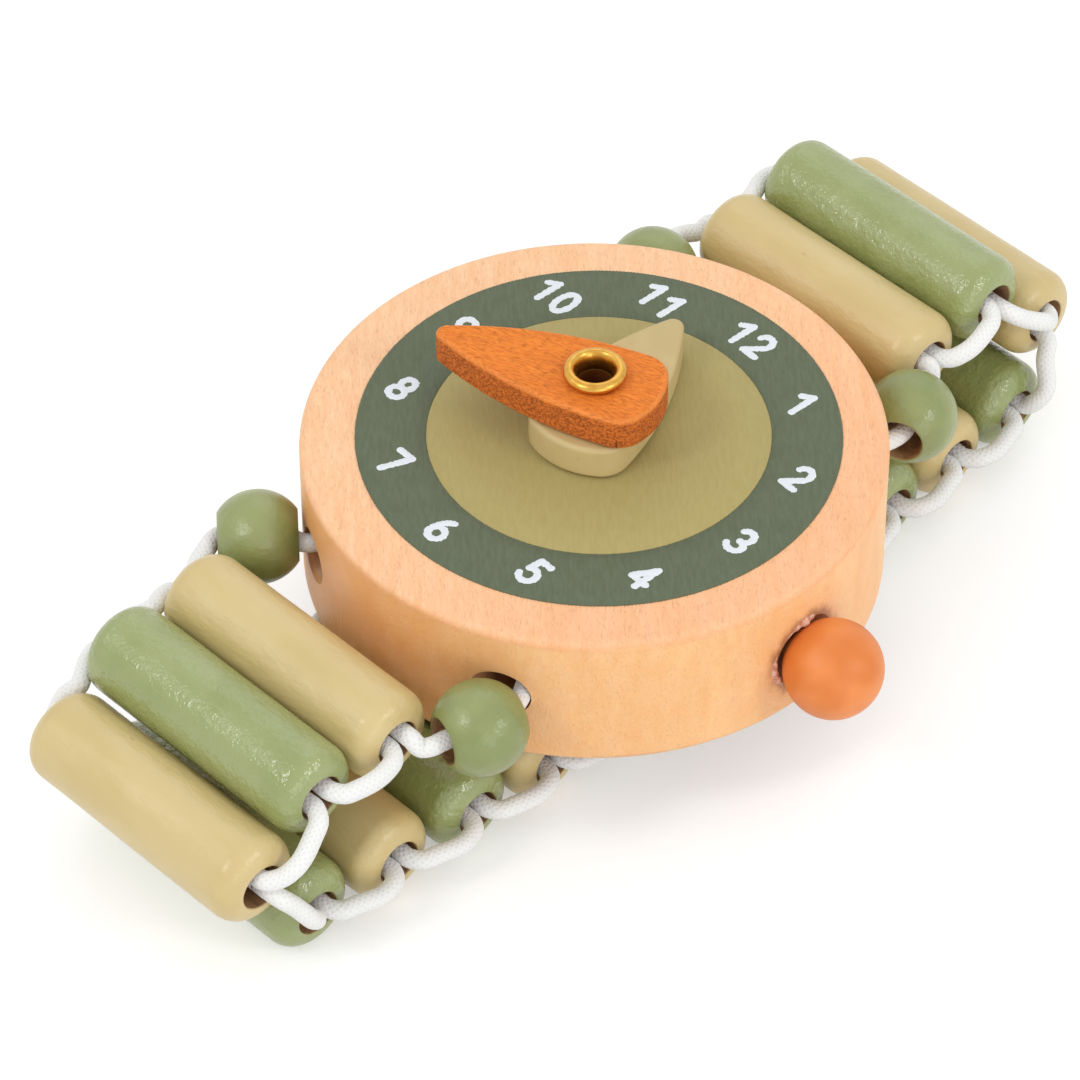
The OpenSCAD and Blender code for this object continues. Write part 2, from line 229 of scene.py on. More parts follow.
# %% [markdown]
# Colours are written as they look on the screen, from 0 to 255. Blender's shaders count light
# instead, so each value goes through the screen's curve once.

# %% Colours
def screen(red, green, blue):
    """A screen colour as light: the low end is a line and the rest a power of 2.4."""
    c = np.array([red, green, blue]) / 255
    light = np.where(c <= 0.04045, c / 12.92, ((c + 0.055) / 1.055) ** 2.4)
    return (*light.tolist(), 1.0)


PALE_WOOD = screen(255, 209, 164)
ROSY_WOOD = screen(253, 194, 145)
WARM_WOOD = screen(255, 201, 138)
# painted shade: the case's side, deeper toward its far left
LEFT_SHADE_WOOD = screen(248, 184, 116)
AMBER_WOOD = screen(242, 176, 112)
WOOD_FIBRE = screen(238, 168, 118)
RIM_WOOD = screen(248, 182, 118)
# painted shade round the crown's seat
SEAT_SHADE_BROWN = screen(122, 66, 30)
DIAL_GREEN = screen(92, 101, 78)
DIAL_KHAKI = screen(172, 157, 99)
KHAKI = screen(207, 184, 127)
GREEN = screen(144, 155, 93)
ROUND_GREEN = screen(133, 143, 86)
HAND_KHAKI = screen(194, 172, 118)
ORANGE_STAIN = screen(252, 146, 54)
ORANGE_PAINT = screen(222, 124, 52)
BARE_WOOD = screen(168, 128, 84)
BRASS = screen(218, 170, 82)
CORD = screen(240, 240, 238)
NUMERAL_WHITE = screen(226, 232, 238)
print("pale wood as light", [round(v, 3) for v in PALE_WOOD])

# %% [markdown]
# A material is a small network of nodes. Short helpers place a node with its settings, join
# sockets and do sums, so that each finish below reads as a recipe. A socket knows which tree
# it belongs to, so only the helpers that start from nothing are told the tree.

# %% Node helpers
def connect(node, inputs):
    """Sockets or plain values on a node's inputs."""
    for key, value in inputs.items():
        if isinstance(value, bpy.types.NodeSocket):
            node.id_data.links.new(value, node.inputs[key])
        else:
            node.inputs[key].default_value = value


def place(tree, kind, inputs=(), **settings):
    """A shader node with its settings, and with sockets or plain values on the named inputs."""
    made = tree.nodes.new("ShaderNode" + kind)
    for key, value in settings.items():
        setattr(made, key, value)
    connect(made, dict(inputs))
    return made


def maths(operation, a, b=0.0, clamp=False):
    """One sum: a and b are sockets or numbers, and at least one is a socket."""
    tree = next(v.id_data for v in (a, b) if isinstance(v, bpy.types.NodeSocket))
    return place(tree, "Math", {0: a, 1: b}, operation=operation, use_clamp=clamp).outputs[0]


def times(first, *others):
    """The product of sockets and numbers, a socket first."""
    for other in others:
        first = maths("MULTIPLY", first, other)
    return first


def ramp(value, start, end):
    """0 below start, 1 above end, and a smooth rise between them."""
    inputs = {0: value, 1: start, 2: end}
    return place(value.id_data, "MapRange", inputs, interpolation_type="SMOOTHSTEP").outputs[0]


def blend(share, a, b):
    """Colour a where share is 0 and colour b where it is 1."""
    return place(share.id_data, "Mix", {0: share, 6: a, 7: b}, data_type="RGBA").outputs[2]


def new_group(name, inputs, outputs):
    """A shader group with named sockets: its tree, its inputs' sockets and its last node."""
    tree = bpy.data.node_groups.new(name, "ShaderNodeTree")
    for label, kind, value in inputs:
        socket = tree.interface.new_socket(label, in_out="INPUT", socket_type=kind)
        if value is not None:
            socket.default_value = value
    for label, kind in outputs:
        tree.interface.new_socket(label, in_out="OUTPUT", socket_type=kind)
    return tree, tree.nodes.new("NodeGroupInput").outputs, tree.nodes.new("NodeGroupOutput")


def noise(vector, scale, detail=2.0, **others):
    """A noise texture's value between 0 and 1."""
    inputs = {"Vector": vector, "Scale": scale, "Detail": detail, **others}
    return place(vector.id_data, "TexNoise", inputs).outputs[0]


def bump(height, distance):
    """A height between 0 and 1 as a tilt of the surface, `distance` millimetres deep."""
    inputs = {"Height": height, "Distance": distance * MM}
    return place(height.id_data, "Bump", inputs).outputs[0]


def mark_of(tree):
    """The mark that each point of a new piece carries."""
    return place(tree, "Attribute", attribute_name="mark").outputs["Fac"]


def new_material(name):
    """A material with its Principled BSDF, and the tree that it lives in."""
    made = bpy.data.materials.new(name)
    made.use_nodes = True
    return made, made.node_tree, made.node_tree.nodes["Principled BSDF"]


def coordinates(tree, turn=0.0, stretch=(1, 1, 1)):
    """Object coordinates in millimetres, turned about Z and then stretched."""
    where = place(tree, "TexCoord").outputs["Object"]
    turned = place(tree, "Mapping", {"Vector": where, "Rotation": (0, 0, turn)})
    inputs = {"Vector": turned.outputs[0], "Scale": tuple(s / MM for s in stretch)}
    return place(tree, "Mapping", inputs).outputs[0]


def parts_of(vector):
    """The three numbers of a vector."""
    return place(vector.id_data, "SeparateXYZ", {0: vector}).outputs


def dress(node, material):
    """A material on a solid of the frame that shows as it is."""
    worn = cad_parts[node].data.materials
    worn.clear()
    worn.append(material)


print("node helpers ready")

# %% [markdown]
# Wood shows long fibres, broad bands of darker growth and short open pores. One group makes all
# three from noise that has been stretched along the grain, and each wooden piece mixes them
# with its own strength. The same bands a few times finer would read as another species.

# %% Wood grain group
FLOAT, VECTOR = "NodeSocketFloat", "NodeSocketVector"
grain_group, grain_in, grain_out = new_group(
    "wood_grain",
    [("Vector", VECTOR, None), ("Fibre scale", FLOAT, 1.0), ("Pore amount", FLOAT, 0.5)],
    [("Fibres", FLOAT), ("Bands", FLOAT), ("Pores", FLOAT)],
)
grain_vector, fibre_scale = grain_in["Vector"], grain_in["Fibre scale"]
fibres = noise(grain_vector, fibre_scale, 4.0, Roughness=0.65)
bands = noise(grain_vector, 0.16, Distortion=0.6)
pores = noise(grain_vector, times(fibre_scale, 2.3), 1.0)
pore_start = maths("SUBTRACT", 0.80, times(grain_in["Pore amount"], 0.25))
connect(grain_out, {
    "Fibres": ramp(fibres, 0.3, 0.7),
    "Bands": ramp(bands, 0.35, 0.65),
    "Pores": ramp(pores, pore_start, maths("ADD", pore_start, 0.07)),
})


def wood_grain(tree, turn, stretch, fibre_scale=1.0, pore_amount=0.5):
    """The group placed in a material, over coordinates turned and stretched: three masks."""
    where = coordinates(tree, turn, stretch)
    inputs = {"Vector": where, "Fibre scale": fibre_scale, "Pore amount": pore_amount}
    return place(tree, "Group", inputs, node_tree=grain_group).outputs


print("grain group sockets:", [s.name for s in grain_group.interface.items_tree])

# %% [markdown]
# Brushed or tumbled paint on a small bead is never flat: it has an orange-peel skin, a few
# ridges where it ran, and here and there a speck. The group gives a height for the bump and a
# slow change of tone. A bump needs no extra faces, and the highlight shows it.

# %% Paint film group
paint_group, paint_in, paint_out = new_group(
    "paint_film",
    [("Vector", VECTOR, None), ("Ridge scale", FLOAT, 0.9), ("Skin amount", FLOAT, 0.3)],
    [("Height", FLOAT), ("Tone", FLOAT), ("Specks", FLOAT)],
)
film_at = paint_in["Vector"]
ridges = noise(film_at, paint_in["Ridge scale"], Roughness=0.45)
skin = noise(film_at, 4.5, 1.0)
tone = noise(film_at, 0.25)
specks = place(paint_group, "TexVoronoi", {"Vector": film_at, "Scale": 0.55}).outputs["Distance"]
connect(paint_out, {
    "Height": maths("ADD", ridges, times(skin, paint_in["Skin amount"])),
    "Tone": ramp(tone, 0.35, 0.65),
    "Specks": ramp(specks, 0.09, 0.04),
})
print("paint group sockets:", [s.name for s in paint_group.interface.items_tree])

# %% [markdown]
# The case is pale close-grained wood under a thin clear finish. Its top face is sanded: short
# fine fibres and a rosy tone, rosier toward the crown. Round the side, where the cutter ran
# across the grain, it is smoother and more yellow, with painted shade deepening its far left.
# Distance from the middle and height tell side from top, and a thin line of amber follows the
# edge. Painted shade also darkens the cord holes, the underside and the wood round the crown's
# seat.

# %% Case wood
CASE_R = 21
GRAIN_TURN = math.radians(-48)
case_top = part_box("case")[1].z / MM
crown_low, crown_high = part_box("crown_ball")
crown_r = (crown_high.y - crown_low.y) / 2 / MM
crown_middle = np.array([crown_high.x / MM - crown_r, 0, (crown_low.z + crown_high.z) / 2 / MM])


def distance_from(tree, spot, flatten=1.0):
    """Millimetres from a spot; a `flatten` of 0 leaves height out of it."""
    ends = {0: coordinates(tree, 0.0, (1, 1, flatten)), 1: spot}
    return place(tree, "VectorMath", ends, operation="DISTANCE").outputs["Value"]


case_wood, tree, shader = new_material("case_wood")
grain = wood_grain(tree, GRAIN_TURN, (5.0, 0.9, 2.4), 1.0, 0.62)
streaks = wood_grain(tree, GRAIN_TURN, (1.5, 0.12, 0.9), 1.0, 0.2)
upright = wood_grain(tree, 0.0, (2.0, 2.0, 0.35), 0.35, 0.2)
x, y, z = parts_of(coordinates(tree))
in_from_edge = maths("SUBTRACT", CASE_R, distance_from(tree, (0, 0, 0), 0.0))
below_top = maths("SUBTRACT", case_top, z)
side_share = times(ramp(in_from_edge, 0.5, 0.02), ramp(below_top, 0.3, 0.9))
on_top = maths("SUBTRACT", 1.0, times(side_share, 0.6))
to_left = maths("ADD", times(x, -0.6), times(y, -0.8))
# painted shade: the side turns deeper toward its far left
side_colour = blend(ramp(to_left, 6, 18), WARM_WOOD, LEFT_SHADE_WOOD)
side_colour = blend(times(upright["Bands"], 0.4), side_colour, AMBER_WOOD)
top_colour = blend(ramp(x, -12, 20), PALE_WOOD, ROSY_WOOD)
rim_line = times(
    ramp(below_top, 0.12, 0.4), ramp(below_top, 0.95, 0.5), ramp(in_from_edge, 0.7, 0.4), 0.5
)
# painted shade: dark brown inside the cord holes and on the underside
hollow_shade = times(ramp(in_from_edge, 0.4, 2.4), maths("GREATER_THAN", below_top, 0.3))
from_crown = distance_from(tree, tuple(crown_middle))
# painted shade: dark brown round the crown's seat, wavering with the fibres
crown_seat_shade = ramp(maths("ADD", from_crown, times(streaks["Fibres"], 0.5)), 5.1, 4.1)
broad = maths("SUBTRACT", 0.24, times(side_share, 0.06))
colour = blend(side_share, top_colour, side_colour)
for share, tint in (
    (rim_line, RIM_WOOD),
    (times(streaks["Fibres"], broad), WOOD_FIBRE),
    (times(grain["Fibres"], 0.4, on_top), WOOD_FIBRE),
    (times(grain["Bands"], 0.12), screen(255, 222, 190)),
    (times(grain["Pores"], 0.09, on_top), screen(206, 138, 92)),
    (hollow_shade, screen(140, 92, 54)),
    (times(crown_seat_shade, 0.6), SEAT_SHADE_BROWN),
):
    colour = blend(share, colour, tint)
connect(shader, {
    "Base Color": colour,
    "Normal": bump(maths("SUBTRACT", grain["Fibres"], grain["Pores"]), 0.02),
    "Roughness": maths("SUBTRACT", 0.55, times(side_share, 0.1)),
    "Specular IOR Level": 0.4,
})
dress("case", case_wood)
print("case polygons", len(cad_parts["case"].data.polygons))

# %% [markdown]
# The dial is printed on the wood with matte ink, in a dark green ring and a khaki middle. The
# ink's edge is slightly toothed, which a smooth circle would miss, so each print is a thin
# ring-shaped shell whose two edges wander by a few hundredths of a millimetre.

# %% Dial prints
DIAL_TURN = -2.8
DIAL_CENTRE = (0.1, 0.35)
DIAL_R = 17.35
DIAL_MIDDLE_R = 12.3
INK_EDGE = 0.035
INK_SINK = 0.02
INK_BEVEL = 0.03
INK_GAP = 0.01
TEETH = 840
EYELET_HOLE_R = 1.77
print_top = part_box("dial_ring")[1].z / MM


def toothed(radius, teeth, depth, seed):
    """A radius for each tooth of a printed edge: even teeth stand out, odd ones lie in."""
    share = np.random.default_rng(seed).uniform(0.3, 1.0, teeth)
    return radius + depth * share * np.where(np.arange(teeth) % 2, 1, -1)


def ink_ring(inner, outer, middle, top):
    """A flat ring of ink: for each angle, a profile that climbs from the wood at the inner
    edge, runs over the top and falls again at the outer edge."""
    turn = np.linspace(0, 2 * np.pi, len(outer), endpoint=False)
    low = case_top - INK_SINK
    steps = [(inner, low), (inner, top - INK_BEVEL), (inner + INK_BEVEL, top)]
    steps += [(inner * (1 - k) + outer * k, top) for k in (0.25, 0.5, 0.75)]
    steps += [(outer - INK_BEVEL, top), (outer, top - INK_BEVEL), (outer, low)]
    radius = np.stack([np.broadcast_to(r, turn.shape) for r, _ in steps])
    height = np.array([z for _, z in steps])[:, None]
    flat = radius[..., None] * circle(turn)
    return shell(lifted(flat + middle, height), closed_rows=True)


def ink(name, colour, lighter):
    """Matte ink that lets the grain of the wood show a little."""
    made, tree, shader = new_material(name)
    grain = wood_grain(tree, GRAIN_TURN, (2.6, 0.5, 1.0), 1.3, 0.2)
    connect(shader, {
        "Base Color": blend(times(grain["Fibres"], 0.35), colour, lighter),
        "Normal": bump(grain["Fibres"], 0.012), "Roughness": 0.62, "Specular IOR Level": 0.3,
    })
    return made


dial_green = ink("dial_green", DIAL_GREEN, screen(116, 126, 104))
dial_khaki = ink("dial_khaki", DIAL_KHAKI, screen(186, 172, 118))
ring_outer = toothed(DIAL_R, TEETH, INK_EDGE, 1)
ring_inner = toothed(DIAL_MIDDLE_R, TEETH, INK_EDGE, 2)
made = ink_ring(ring_inner, ring_outer, DIAL_CENTRE, print_top)
piece("ink_ring", [made], dial_green, "case", ("dial_ring",))
eyelet_hole = np.full(TEETH, EYELET_HOLE_R)
made = ink_ring(eyelet_hole, ring_inner - INK_GAP, DIAL_CENTRE, print_top)
piece("ink_middle", [made], dial_khaki, "case", ("dial_centre",))

# %% [markdown]
# The numbers are white ink with round stroke ends. Each digit is a few strokes in a box one
# unit high, straight lines or arcs of an ellipse, and a stroke is a flat ribbon swept along
# them. Near its two ends the ribbon narrows like a half circle, which rounds them.

# %% Numbers
NUMBER_H = 2.75
NUMBER_R = 14.8
STROKE_SHARE = 0.2
WIDE_SHARE = 0.70
DIGIT_MIDDLE = (0.31, 0.5)
WIDTH_WANDER = 0.17
NUMBER_LIFT = 0.012
STROKE_STEP = 0.003
END_STEPS = 6


def line(*points):
    """Straight runs between points, with more points put in between."""
    points = np.array(points, float)
    k = np.linspace(0, len(points) - 1, 14 * (len(points) - 1) + 1)
    return np.stack([np.interp(k, np.arange(len(points)), points[:, n]) for n in (0, 1)], axis=1)


DIGIT_SHARES = {
    "0": [arc((0.31, 0.5), (0.215, 0.41), 90, 450, 50)],
    "1": [line((0.10, 0.71), (0.37, 0.90)), line((0.37, 0.90), (0.37, 0.09))],
    "2": [np.concatenate([arc((0.31, 0.67), (0.21, 0.24), 165, -38, 26),
                          line((0.40, 0.44), (0.10, 0.09))]),
          line((0.10, 0.09), (0.54, 0.09))],
    "3": [arc((0.28, 0.695), (0.20, 0.215), 150, -90, 26),
          arc((0.28, 0.29), (0.235, 0.20), 90, -155, 28)],
    "4": [line((0.42, 0.09), (0.42, 0.91)), line((0.42, 0.91), (0.08, 0.31)),
          line((0.08, 0.31), (0.58, 0.31))],
    "5": [line((0.52, 0.91), (0.18, 0.91)), line((0.18, 0.91), (0.14, 0.52)),
          arc((0.29, 0.335), (0.235, 0.245), 128, -155, 30)],
    "6": [arc((0.31, 0.315), (0.22, 0.225), 0, 360, 40),
          arc((0.56, 0.315), (0.47, 0.60), 180, 112, 24)],
    "7": [line((0.08, 0.91), (0.55, 0.91)), line((0.55, 0.91), (0.24, 0.09))],
    "8": [arc((0.31, 0.70), (0.18, 0.205), 0, 360, 40),
          arc((0.31, 0.295), (0.22, 0.205), 0, 360, 40)],
    "9": [arc((0.31, 0.685), (0.22, 0.225), 0, 360, 40),
          arc((0.06, 0.685), (0.47, 0.60), 0, -68, 24)],
}


def ribbon(path, half_width, base, top, seed):
    """A flat ribbon along a path, with eight points round each cross-section. Its width wanders
    a little, as ink does. A path that meets itself becomes a closed band; any other follows a
    half circle over its own half width at both ends."""
    closed = np.allclose(path[0], path[-1])
    if closed:
        centre = path[:-1]
        run = unit(np.roll(centre, -1, axis=0) - np.roll(centre, 1, axis=0))
        width = np.full(len(centre), half_width)
    else:
        way = unit(np.gradient(path, axis=0))
        ends = half_width * np.sin(np.radians(np.linspace(90, 0, END_STEPS + 1)))[:-1]
        start = path[0] - ends[:, None] * way[0]
        finish = path[-1] + ends[::-1, None] * way[-1]
        centre = np.concatenate([start, path, finish])
        run = way[np.clip(np.arange(len(centre)) - END_STEPS, 0, len(way) - 1)]
        rounding = np.sqrt(np.clip(1 - (ends / half_width) ** 2, 0.0001, 1))
        width = half_width * np.concatenate([rounding, np.ones(len(path)), rounding[::-1]])
    width *= 1 + np.random.default_rng(seed).uniform(-WIDTH_WANDER, WIDTH_WANDER, len(width))
    across = spun(run, math.pi / 2)
    share = np.array([1, 1, 0.93, 0, -0.93, -1, -1, 0])
    height = np.array([base, top - 0.01, top, top, top, top - 0.01, base, base])
    flat = centre[:, None] + width[:, None, None] * share[:, None] * across[:, None]
    points = lifted(flat, height)
    return shell(points, closed_rows=True) if closed else capped(points)


def capped(points):
    """A tube of rings with a single point put at the middle of each end."""
    first = np.broadcast_to(points[0].mean(0), points[:1].shape)
    last = np.broadcast_to(points[-1].mean(0), points[:1].shape)
    points = np.concatenate([first, points, last])
    return shell(points, poles=True, along=spaced(points.mean(axis=1)))


number_strokes = []
for hour in range(1, 13):
    spot = NUMBER_R * spun((1, 0), math.radians(90 - 30 * hour))
    digits = str(hour)
    for n, digit in enumerate(digits):
        shift = np.array([(n - (len(digits) - 1) / 2) * WIDE_SHARE, 0])
        for stroke in DIGIT_SHARES[digit]:
            count = len(number_strokes)
            path = spun((stroke - DIGIT_MIDDLE + shift) * NUMBER_H + spot, math.radians(DIAL_TURN))
            number_strokes.append(ribbon(
                path + DIAL_CENTRE, NUMBER_H * STROKE_SHARE / 2, print_top - INK_SINK,
                print_top + NUMBER_LIFT + STROKE_STEP * (count % 4), count,
            ))
number_ink, tree, shader = new_material("number_ink")
grain = wood_grain(tree, GRAIN_TURN, (2.6, 0.5, 1.0), 1.6, 0.35)
connect(shader, {
    "Base Color": blend(times(grain["Pores"], 0.45), NUMERAL_WHITE, screen(170, 178, 172)),
    "Roughness": 0.7,
})
piece("numbers", number_strokes, number_ink, "case")

# %% [markdown]
# Each hand is a leaf cut from thin wood: two bowed sides, a rounded point and a bowed blunt
# end. Its outline is made of arcs that run into each other, and the same arcs with smaller
# radii give the outline drawn inward by any distance. So the hand's soft edges are the outline
# at several heights, drawn in along a quarter circle, and the top runs from there to the bore.

# %% Hand surface
HAND_TIP_R = 0.8
HAND_CORNER_R = 2.2
HAND_END_R = 6.0
HAND_BELLY = 1.8
HAND_BORE_R = 1.8


def heading(vector):
    """The angle of a flat vector in degrees, whose tangent is its y over its x."""
    return math.degrees(math.atan2(vector[1], vector[0]))


def hand_outline(reach, tail, width, inset, count=400):
    """Points round a leaf that points along +Y, `inset` inside its edge: arcs about fixed
    centres, all drawn in by the inset, and evenly spaced points along them."""
    rise = reach - HAND_TIP_R + HAND_BELLY
    side_r = (width**2 / 4 + rise**2 - HAND_TIP_R**2) / (width - 2 * HAND_TIP_R)
    side = np.array([width / 2 - side_r, -HAND_BELLY])
    end = np.array([0, HAND_END_R - tail])
    tip = np.array([0, reach - HAND_TIP_R])
    span = end - side
    apart = np.linalg.norm(span)
    from_side, from_end = side_r - HAND_CORNER_R, HAND_END_R - HAND_CORNER_R
    along = (apart**2 + from_side**2 - from_end**2) / (2 * apart)
    off = math.sqrt(from_side**2 - along**2)
    corner = side + (along * span + off * np.array([span[1], -span[0]])) / apart
    low, middle, high = heading(corner - end), heading(corner - side), heading(tip - side)
    right = np.concatenate([
        arc(end, HAND_END_R - inset, -90, low, 30),
        arc(corner, HAND_CORNER_R - inset, low, middle, 40),
        arc(side, side_r - inset, middle, high, 90),
        arc(tip, HAND_TIP_R - inset, high, 90, 20),
    ])
    way = np.concatenate([right, right[::-1] * [-1, 1]])
    length = spaced(way)
    spot = np.linspace(0, length[-1], count, endpoint=False)
    return np.stack([np.interp(spot, length, way[:, n]) for n in (0, 1)], axis=1)


def hand_shell(reach, tail, width, low, high, turn, edge_r, worn):
    """Rings round the hand, each an outline at a height: the bore, the top, the rounded top
    edge, the side, the rounded lower edge and the underside. `worn` marks the edges, which
    the stain's recipe lightens as rubbed wear and as a painted highlight."""
    def drawn_in(inset):
        return hand_outline(reach, tail, width, inset)

    def edge_ring(t, level, sense, edge_wear_and_light):
        ring = drawn_in(edge_r * (1 - math.cos(t)))
        return ring, level + sense * edge_r * (1 - math.sin(t)), edge_wear_and_light * math.sin(2 * t)

    outline, face = drawn_in(0), drawn_in(edge_r)
    bore = HAND_BORE_R * unit(outline)
    quarter = np.radians(np.linspace(90, 0, 8))
    rings = [(bore, low, 0), (bore, high, 0)]
    rings += [(bore * (1 - k) + face * k, high, 0) for k in (0.1, 0.3, 0.5, 0.7, 0.85, 0.95)]
    rings += [edge_ring(t, high, -1, 1.0) for t in quarter]
    rings += [(outline, high + (low - high) * k, 0) for k in (0.3, 0.5, 0.7)]
    rings += [edge_ring(t, low, 1, 0.6) for t in quarter[::-1]]
    rings += [(face * (1 - k) + bore * k, low, 0) for k in (0.2, 0.5, 0.8)]
    flat = spun(np.stack([ring for ring, _, _ in rings]), turn)
    height, marks = np.array([ring[1:] for ring in rings]).T[..., None]
    return shell(lifted(flat, height), closed_rows=True, marks=worn * marks)


hour_low, hour_high = [v.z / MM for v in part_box("hour_hand")]
minute_low, minute_high = [v.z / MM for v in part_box("minute_hand")]
print("hour hand from", round(hour_low, 2), "to", round(hour_high, 2))

# %% [markdown]
# The minute hand is open-grained wood under an orange stain. Stain sinks deeper into pores, so
# they read as fine dark lines along the grain on top, and as a crowd of dark specks on the
# sides, where the fibres are cut. The sides are darker overall, partly from the stain and partly
# as painted shade. The rounded edges are lighter, partly rubbed and partly a painted highlight,
# and one short crack runs up a side. The grain follows the hand, so the material turns its
# coordinates by the hand's own angle, and height tells top from side.

# %% Minute hand
MINUTE_TURN = math.radians(111)
CRACK_Y = -3.3
CRACK_END_X = -2.4
stain, tree, shader = new_material("orange_stain")
grain = wood_grain(tree, -MINUTE_TURN, (11.0, 0.7, 11.0), 1.0, 0.9)
broad = wood_grain(tree, -MINUTE_TURN, (2.6, 0.16, 1.2), 1.0, 0.2)
cut_ends = wood_grain(tree, -MINUTE_TURN, (6.0, 4.6, 6.0), 1.0, 0.9)
across, along, z = parts_of(coordinates(tree, -MINUTE_TURN))
on_side = ramp(z, minute_high - 0.12, minute_high - 0.5)
lines = times(grain["Pores"], 0.5)
specks = times(ramp(cut_ends["Fibres"], 0.45, 0.8), on_side, 0.6)
off_crack = maths("ABSOLUTE", maths("SUBTRACT", along, CRACK_Y))
crack = times(
    ramp(off_crack, 0.09, 0.03), maths("LESS_THAN", across, CRACK_END_X),
    ramp(z, minute_low + 1.3, minute_low + 0.5), 0.85,
)
colour = ORANGE_STAIN
for share, tint in (
    (times(broad["Fibres"], 0.5), screen(224, 118, 46)),
    (times(grain["Fibres"], 0.34), screen(206, 104, 42)),
    (lines, screen(170, 80, 32)),
    # painted shade on the sides, partly the stain's own darker tone
    (times(on_side, 0.5), screen(206, 104, 46)),
    (specks, screen(136, 62, 26)),
    # lighter rounded edges: rubbed wear and a painted highlight
    (times(mark_of(tree), 0.3), screen(246, 160, 92)),
    (crack, screen(70, 30, 14)),
):
    colour = blend(share, colour, tint)
pits = maths("ADD", times(lines, 0.8), specks)
connect(shader, {
    "Base Color": colour, "Normal": bump(maths("SUBTRACT", 1.0, pits), 0.05),
    "Roughness": 0.6, "Specular IOR Level": 0.2,
})
made = hand_shell(12.3, 5.1, 7.6, minute_low, minute_high, MINUTE_TURN, 0.35, 1.0)
piece("minute_hand_wood", [made], stain, "minute_hand", ("minute_hand",))

# %% [markdown]
# Paint covers the grain of the other pieces. One recipe serves khaki, green and orange: the
# paint film's bumps, a slow change of tone, and bare wood wherever the piece's mark says that
# the brush didn't reach, as in a bore. Green went on thicker, so its bumps are stronger.

# %% Paint recipe
ALONG_BEAD = (0.5, 1, 1)


def painted(name, colour, light, depth, ridge_scale, skin, roughness, gloss=0.5, stretch=(1, 1, 1)):
    """Satin paint over wood; a mark of 1 is bare wood."""
    made, tree, shader = new_material(name)
    where = coordinates(tree, 0.0, stretch)
    inputs = {"Vector": where, "Ridge scale": ridge_scale, "Skin amount": skin}
    film = place(tree, "Group", inputs, node_tree=paint_group).outputs
    bare = mark_of(tree)
    grain = wood_grain(tree, 0.0, (0.6, 2.4, 2.4), 1.2, 0.4)
    tint = blend(film["Tone"], colour, light)
    tint = blend(times(film["Specks"], 0.25), tint, BARE_WOOD)
    wood = blend(grain["Fibres"], BARE_WOOD, screen(128, 92, 58))
    connect(shader, {
        "Base Color": blend(bare, tint, wood), "Normal": bump(film["Height"], depth),
        "Roughness": maths("ADD", roughness, times(bare, 0.35), clamp=True),
        "Specular IOR Level": gloss,
    })
    return made


khaki_paint = painted(
    "khaki_paint", KHAKI, screen(213, 191, 136), 0.11, 0.9, 0.25, 0.33, 0.55, ALONG_BEAD
)
green_paint = painted("green_paint", GREEN, screen(152, 162, 103), 0.12, 1.6, 0.4, 0.21, 0.85)
round_paint = painted("round_paint", ROUND_GREEN, screen(146, 155, 97), 0.1, 1.1, 0.25, 0.31, 0.65)
orange_paint = painted("orange_paint", ORANGE_PAINT, screen(236, 142, 72), 0.02, 0.6, 0.4, 0.46)
hand_paint = painted("hand_paint", HAND_KHAKI, screen(203, 181, 127), 0.03, 0.7, 0.4, 0.48)
print("paints:", khaki_paint.name, green_paint.name, round_paint.name)

# %% [markdown]
# The hour hand is the same leaf, a little shorter and wider, under khaki paint. The same
# function makes it, with its own reach and a slightly rounder edge. Paint lies smoother on its
# flat face than on the beads, so its recipe has a low bump.

# %% Hour hand
HOUR_TURN = math.radians(12)
made = hand_shell(11.1, 4.5, 7.9, hour_low, hour_high, HOUR_TURN, 0.4, 0.0)
piece("hour_hand_wood", [made], hand_paint, "hour_hand", ("hour_hand",))

# %% [markdown]
# A brass eyelet rivets both hands to the case. Seen from above it is a rolled ring whose inner
# side falls into a dark bore; the bore's wall is painted dark brown and dull as shade. The whole
# rivet is one profile turned about the dial's axis: up the bore, round the rolled collar, down
# the outside of the tube and round the tail in the back.

# %% Brass eyelet
EYELET_BORE_R = 1.35
EYELET_TUBE_R = 1.75
COLLAR_R = 0.425
COLLAR_WIDE_R = 0.49
FUNNEL_H = 1.35
TAIL_R = 0.37
eyelet_low, eyelet_high = [v.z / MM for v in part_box("hand_eyelet")]
collar_z = eyelet_high - COLLAR_R
tail_z = eyelet_low + TAIL_R
collar_middle = EYELET_BORE_R + COLLAR_R
tail_middle = EYELET_BORE_R + TAIL_R
funnel = arc((0, COLLAR_R - FUNNEL_H), (COLLAR_WIDE_R, FUNNEL_H), 180, 92, 20)
collar_arc = np.concatenate([funnel, arc((0, 0), (COLLAR_WIDE_R, COLLAR_R), 90, -75, 26)])
tail_arc = arc((0, 0), TAIL_R, 0, -180, 20)
profile = np.concatenate([
    [[tail_z + 1, EYELET_BORE_R], [collar_z - 1.2, EYELET_BORE_R]],
    collar_arc[:, ::-1] + [collar_z, collar_middle],
    [[collar_z - COLLAR_R, EYELET_TUBE_R], [tail_z + TAIL_R, EYELET_TUBE_R]],
    tail_arc[:, ::-1] + [tail_z, tail_middle],
])
brass, tree, shader = new_material("eyelet_brass")
scuffs = noise(coordinates(tree), 1.6, 3.0)
colour = blend(ramp(scuffs, 0.4, 0.7), BRASS, screen(204, 152, 66))
bore_shade = mark_of(tree)
connect(shader, {
    # painted shade: the bore's wall is dark brown and not metal
    "Base Color": blend(bore_shade, colour, screen(118, 68, 34)),
    "Metallic": maths("SUBTRACT", 1.0, bore_shade),
    "Roughness": maths("ADD", 0.24, times(scuffs, 0.14)),
    "Normal": bump(scuffs, 0.02),
})
